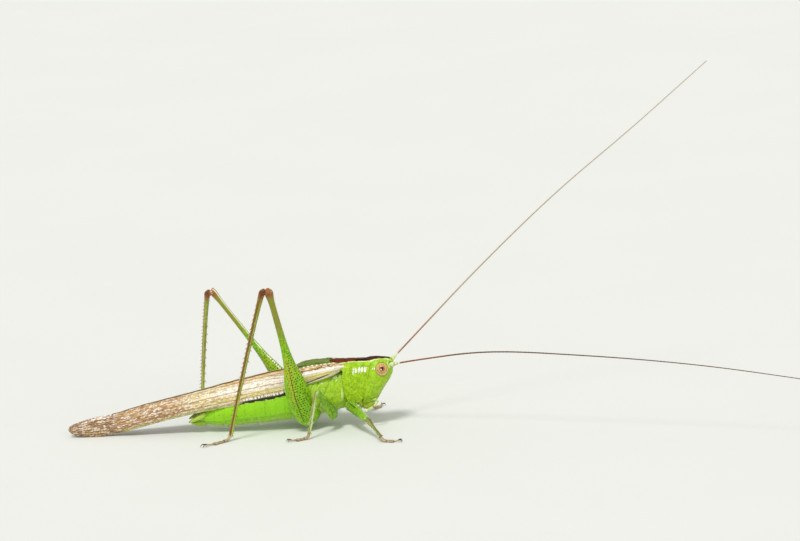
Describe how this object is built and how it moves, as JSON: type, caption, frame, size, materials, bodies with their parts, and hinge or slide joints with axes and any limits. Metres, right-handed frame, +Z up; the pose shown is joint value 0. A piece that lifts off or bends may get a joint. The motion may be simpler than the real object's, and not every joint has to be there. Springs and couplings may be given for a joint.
{
  "type": "slender meadow katydid (long horned grasshopper)",
  "caption": "Still, life-size adult male meadow katydid, a long-horned grasshopper: green body, mottled tan wings held roof-like, high hind knees and very long thin antennae.",
  "frame": {"origin": "on the floor, under the centre of the whole animal's box, antennae included", "axes": "+X towards the head and along the body, +Y to the animal's left, +Z up"},
  "size_m": [0.0526, 0.0186, 0.0234],
  "materials": {
    "cuticle": "satin, finely pitted, yellow-green insect cuticle with darker specks and a brown stripe on the crown",
    "pronotum": "satin, pitted, yellow-green shield with a cream-edged dark red-brown stripe along the back",
    "eye": "glossy, finely faceted, tan-brown compound eye with a dark centre",
    "antenna": "satin, red-brown, finely ringed, pale green at the root",
    "palp": "satin, pale green with whitish tips",
    "fore_wing": "satin, parchment-like, tan and cream with a net of brown veins",
    "hind_wing": "satin, pleated, smoky brown with dark streaks",
    "leg": "satin green with rows of dark dots",
    "tibia": "satin, pale yellow-green to olive brown",
    "hind_tibia": "satin olive-brown with two rows of red-brown spines",
    "tarsus": "satin, grey-brown, slightly translucent"
  },
  "bodies": {
    "root": {"abdomen_front": "cuticle", "abdomen_rear": "cuticle", "antenna_base_left": "antenna", "antenna_base_right": "antenna", "antenna_inner_left": "antenna", "antenna_inner_right": "antenna", "antenna_outer_left": "antenna", "antenna_outer_right": "antenna", "cercus_left": "cuticle", "cercus_right": "cuticle", "eye_left": "eye", "eye_right": "eye", "fore_left_coxa": "leg", "fore_left_femur": "leg", "fore_left_tarsus": "tarsus", "fore_left_tibia": "tibia", "fore_right_coxa": "leg", "fore_right_femur": "leg", "fore_right_tarsus": "tarsus", "fore_right_tibia": "tibia", "fore_wing_left": "fore_wing", "fore_wing_right": "fore_wing", "head": "cuticle", "hind_left_coxa": "leg", "hind_left_femur": "leg", "hind_left_tarsus": "tarsus", "hind_left_tibia": "hind_tibia", "hind_right_coxa": "leg", "hind_right_femur": "leg", "hind_right_tarsus": "tarsus", "hind_right_tibia": "hind_tibia", "hind_wing_left": "hind_wing", "hind_wing_right": "hind_wing", "labial_palp_left": "palp", "labial_palp_right": "palp", "maxillary_palp_left": "palp", "maxillary_palp_right": "palp", "mid_left_coxa": "leg", "mid_left_femur": "leg", "mid_left_tarsus": "tarsus", "mid_left_tibia": "tibia", "mid_right_coxa": "leg", "mid_right_femur": "leg", "mid_right_tarsus": "tarsus", "mid_right_tibia": "tibia", "mouthparts": "cuticle", "pronotum": "pronotum", "prothorax": "cuticle", "subgenital_plate": "cuticle", "thorax": "cuticle"}
  },
  "joints": []
}
